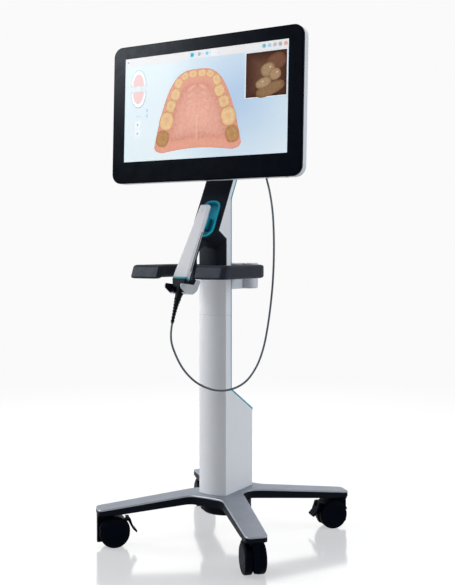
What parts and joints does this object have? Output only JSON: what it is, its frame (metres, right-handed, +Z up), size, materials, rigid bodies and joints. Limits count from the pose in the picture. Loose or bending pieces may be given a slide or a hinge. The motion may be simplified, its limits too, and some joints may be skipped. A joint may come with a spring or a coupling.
{
  "type": "intraoral scanner",
  "caption": "Mobile intraoral scanner: touch display on a leaning arm, column on a wheeled base, ring handle and a hand-held wand with cable in its cradle.",
  "frame": {"origin": "on the floor, at the centre of the wheeled base", "axes": "+X to the right seen from the front, +Y to the back, +Z up"},
  "size_m": [0.552, 0.5183, 1.2728],
  "materials": {
    "frame_black": "satin black powder coat",
    "base_silver": "satin silver-grey paint",
    "shell_white": "satin white paint",
    "trim_teal": "satin teal",
    "cover_black": "satin black",
    "ring_dark": "satin dark grey",
    "grey_plastic": "satin light grey",
    "head_metal": "satin black",
    "steel": "brushed",
    "bezel_black": "gloss black",
    "screen": "smooth glass-like",
    "display_shell": "fine texture light grey",
    "wand_white": "satin white",
    "wand_grey": "soft grey",
    "window": "clear glass",
    "cable": "matt dark grey",
    "wheel_black": "black",
    "caster_black": "black"
  },
  "bodies": {
    "stand": {"base_frame": "frame_black", "base_cover": "base_silver", "hub_block": "frame_black", "column_lower": "shell_white", "rear_housing": "shell_white", "rear_trim": "trim_teal", "upper_shell": "shell_white", "arm_cover": "cover_black", "collar": "cover_black", "pocket_liner": "trim_teal", "arm_head": "head_metal", "wand_body": "wand_white", "wand_indicator": "wand_grey", "scan_head": "wand_white", "scan_window": "window", "wand_trim_ring": "trim_teal", "wand_end_cap": "cover_black", "strain_relief": "cable", "wand_cable": "cable", "cable_plug": "cover_black", "cable_socket": "grey_plastic", "cradle_spine": "cover_black", "cradle_cup": "grey_plastic", "cradle_liner": "cover_black", "handle_ring": "ring_dark", "handle_bracket": "grey_plastic", "power_box": "grey_plastic", "wand_panel_left": "wand_grey", "wand_panel_right": "wand_grey"},
    "display": {"display_bezel": "bezel_black", "screen_panel": "screen", "display_rear_shell": "display_shell", "display_screws": "steel", "tilt_bracket": "head_metal", "tilt_pin": "steel"},
    "power_button": {"power_button": "grey_plastic"},
    "wand_button_left": {"wand_button_left": "grey_plastic"},
    "wand_button_right": {"wand_button_right": "grey_plastic"},
    "caster_front_right": {"caster_housing_front_right": "caster_black", "caster_axle_front_right": "steel"},
    "wheel_left_front_right": {"wheel_left_front_right": "wheel_black"},
    "wheel_right_front_right": {"wheel_right_front_right": "wheel_black"},
    "brake_front_right": {"brake_pedal_front_right": "caster_black"},
    "caster_front_left": {"caster_housing_front_left": "caster_black", "caster_axle_front_left": "steel"},
    "wheel_left_front_left": {"wheel_left_front_left": "wheel_black"},
    "wheel_right_front_left": {"wheel_right_front_left": "wheel_black"},
    "brake_front_left": {"brake_pedal_front_left": "caster_black"},
    "caster_rear_left": {"caster_housing_rear_left": "caster_black", "caster_axle_rear_left": "steel"},
    "wheel_left_rear_left": {"wheel_left_rear_left": "wheel_black"},
    "wheel_right_rear_left": {"wheel_right_rear_left": "wheel_black"},
    "brake_rear_left": {"brake_pedal_rear_left": "caster_black"},
    "caster_rear_right": {"caster_housing_rear_right": "caster_black", "caster_axle_rear_right": "steel"},
    "wheel_left_rear_right": {"wheel_left_rear_right": "wheel_black"},
    "wheel_right_rear_right": {"wheel_right_rear_right": "wheel_black"},
    "brake_rear_right": {"brake_pedal_rear_right": "caster_black"}
  },
  "joints": [
    {"name": "display_tilt", "type": "hinge", "parent": "stand", "child": "display", "pos_m": [0, 0.02299, 1.00199], "axis": [-1, 0, 0], "range_deg": [-5, 20]},
    {"name": "power_button_press", "type": "slide", "parent": "display", "child": "power_button", "axis": [0, 0.0349, 0.9994], "range_m": [0, 0.0008], "stiffness_N_per_m": 800},
    {"name": "wand_button_left_press", "type": "slide", "parent": "stand", "child": "wand_button_left", "axis": [0.9995, -0.0167, -0.0274], "range_m": [0, 0.0008], "stiffness_N_per_m": 800},
    {"name": "wand_button_right_press", "type": "slide", "parent": "stand", "child": "wand_button_right", "axis": [-0.9995, -0.0167, -0.0274], "range_m": [0, 0.0008], "stiffness_N_per_m": 800},
    {"name": "swivel_front_right", "type": "hinge", "parent": "stand", "child": "caster_front_right", "pos_m": [0.21551, -0.23111, 0.08], "axis": [0, 0, 1], "continuous": true},
    {"name": "roll_left_front_right", "type": "hinge", "parent": "caster_front_right", "child": "wheel_left_front_right", "pos_m": [0.20051, -0.21502, 0.0375], "axis": [-0.7314, -0.682, 0], "continuous": true},
    {"name": "roll_right_front_right", "type": "hinge", "parent": "caster_front_right", "child": "wheel_right_front_right", "pos_m": [0.20051, -0.21502, 0.0375], "axis": [-0.7314, -0.682, 0], "continuous": true},
    {"name": "brake_front_right", "type": "hinge", "parent": "caster_front_right", "child": "brake_front_right", "pos_m": [0.177, -0.18981, 0.06642], "axis": [-0.7314, -0.682, 0], "range_deg": [0, 8]},
    {"name": "swivel_front_left", "type": "hinge", "parent": "stand", "child": "caster_front_left", "pos_m": [-0.21551, -0.23111, 0.08], "axis": [0, 0, 1], "continuous": true},
    {"name": "roll_left_front_left", "type": "hinge", "parent": "caster_front_left", "child": "wheel_left_front_left", "pos_m": [-0.20051, -0.21502, 0.0375], "axis": [-0.7314, 0.682, 0], "continuous": true},
    {"name": "roll_right_front_left", "type": "hinge", "parent": "caster_front_left", "child": "wheel_right_front_left", "pos_m": [-0.20051, -0.21502, 0.0375], "axis": [-0.7314, 0.682, 0], "continuous": true},
    {"name": "brake_front_left", "type": "hinge", "parent": "caster_front_left", "child": "brake_front_left", "pos_m": [-0.177, -0.18981, 0.06642], "axis": [-0.7314, 0.682, 0], "range_deg": [0, 8]},
    {"name": "swivel_rear_left", "type": "hinge", "parent": "stand", "child": "caster_rear_left", "pos_m": [-0.21551, 0.23111, 0.08], "axis": [0, 0, 1], "continuous": true},
    {"name": "roll_left_rear_left", "type": "hinge", "parent": "caster_rear_left", "child": "wheel_left_rear_left", "pos_m": [-0.20051, 0.21502, 0.0375], "axis": [0.7314, 0.682, 0], "continuous": true},
    {"name": "roll_right_rear_left", "type": "hinge", "parent": "caster_rear_left", "child": "wheel_right_rear_left", "pos_m": [-0.20051, 0.21502, 0.0375], "axis": [0.7314, 0.682, 0], "continuous": true},
    {"name": "brake_rear_left", "type": "hinge", "parent": "caster_rear_left", "child": "brake_rear_left", "pos_m": [-0.177, 0.18981, 0.06642], "axis": [0.7314, 0.682, 0], "range_deg": [0, 8]},
    {"name": "swivel_rear_right", "type": "hinge", "parent": "stand", "child": "caster_rear_right", "pos_m": [0.21551, 0.23111, 0.08], "axis": [0, 0, 1], "continuous": true},
    {"name": "roll_left_rear_right", "type": "hinge", "parent": "caster_rear_right", "child": "wheel_left_rear_right", "pos_m": [0.20051, 0.21502, 0.0375], "axis": [0.7314, -0.682, 0], "continuous": true},
    {"name": "roll_right_rear_right", "type": "hinge", "parent": "caster_rear_right", "child": "wheel_right_rear_right", "pos_m": [0.20051, 0.21502, 0.0375], "axis": [0.7314, -0.682, 0], "continuous": true},
    {"name": "brake_rear_right", "type": "hinge", "parent": "caster_rear_right", "child": "brake_rear_right", "pos_m": [0.177, 0.18981, 0.06642], "axis": [0.7314, -0.682, 0], "range_deg": [0, 8]}
  ]
}
